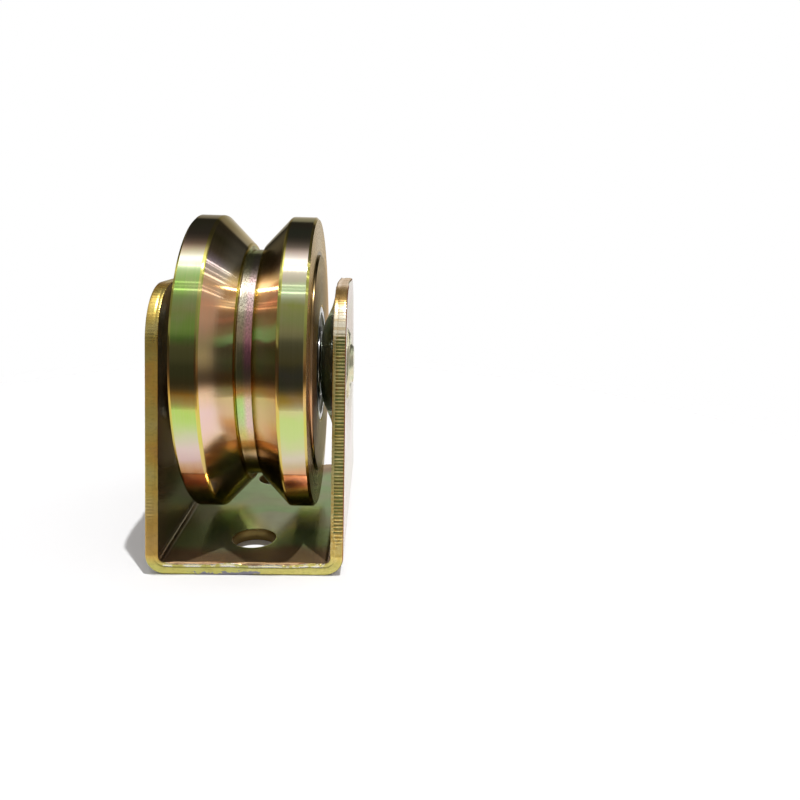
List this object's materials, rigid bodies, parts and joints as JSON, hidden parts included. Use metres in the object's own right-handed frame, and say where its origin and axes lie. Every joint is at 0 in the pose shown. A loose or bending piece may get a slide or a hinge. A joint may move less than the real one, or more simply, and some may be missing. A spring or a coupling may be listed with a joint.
{
  "type": "gate wheel",
  "caption": "V-groove steel gate wheel on sealed ball bearings, held by a through bolt between the dimpled ears of a folded plate bracket with bolt holes in its base.",
  "frame": {"origin": "middle of the base plate's lower face, the face that bolts to the gate", "axes": "+Z from the base towards the wheel, +X along the axle from the bolt's head to its nut, +Y along the rolling direction"},
  "size_m": [0.0525, 0.08, 0.0865],
  "materials": {
    "bracket_zinc": "pressed plate, yellow passivated zinc, satin with olive and rose tints",
    "wheel_zinc": "turned steel, yellow passivated zinc, bright with green and rose tints",
    "fastener_zinc": "pale zinc plate",
    "bearing_steel": "ground bearing steel",
    "cage_steel": "pressed steel",
    "ball_steel": "polished bearing steel",
    "seal_rubber": "black rubber, slightly glossy"
  },
  "bodies": {
    "bracket": {"bracket": "bracket_zinc", "axle_bolt": "fastener_zinc", "axle_nut": "fastener_zinc", "bearing_spacer": "bearing_steel", "bearing_left_inner_ring": "bearing_steel", "bearing_right_inner_ring": "bearing_steel"},
    "wheel": {"wheel": "wheel_zinc", "bearing_left_outer_ring": "bearing_steel", "bearing_left_outer_seal": "seal_rubber", "bearing_left_inner_seal": "seal_rubber", "bearing_right_outer_ring": "bearing_steel", "bearing_right_outer_seal": "seal_rubber", "bearing_right_inner_seal": "seal_rubber"},
    "ball_set_left": {"bearing_left_cage": "cage_steel", "ball_left_1": "ball_steel", "ball_left_2": "ball_steel", "ball_left_3": "ball_steel", "ball_left_4": "ball_steel", "ball_left_5": "ball_steel", "ball_left_6": "ball_steel", "ball_left_7": "ball_steel"},
    "ball_set_right": {"bearing_right_cage": "cage_steel", "ball_right_1": "ball_steel", "ball_right_2": "ball_steel", "ball_right_3": "ball_steel", "ball_right_4": "ball_steel", "ball_right_5": "ball_steel", "ball_right_6": "ball_steel", "ball_right_7": "ball_steel"}
  },
  "joints": [
    {"name": "wheel_spin", "type": "hinge", "parent": "bracket", "child": "wheel", "pos_m": [0, 0, 0.0465], "axis": [1, 0, 0], "continuous": true},
    {"name": "ball_set_left_spin", "type": "hinge", "parent": "bracket", "child": "ball_set_left", "pos_m": [0, 0, 0.0465], "axis": [1, 0, 0], "continuous": true},
    {"name": "ball_set_right_spin", "type": "hinge", "parent": "bracket", "child": "ball_set_right", "pos_m": [0, 0, 0.0465], "axis": [1, 0, 0], "continuous": true}
  ],
  "couplings": [
    {"joint": "ball_set_left_spin", "follows": "wheel_spin", "ratio": 0.6353},
    {"joint": "ball_set_right_spin", "follows": "wheel_spin", "ratio": 0.6353}
  ]
}
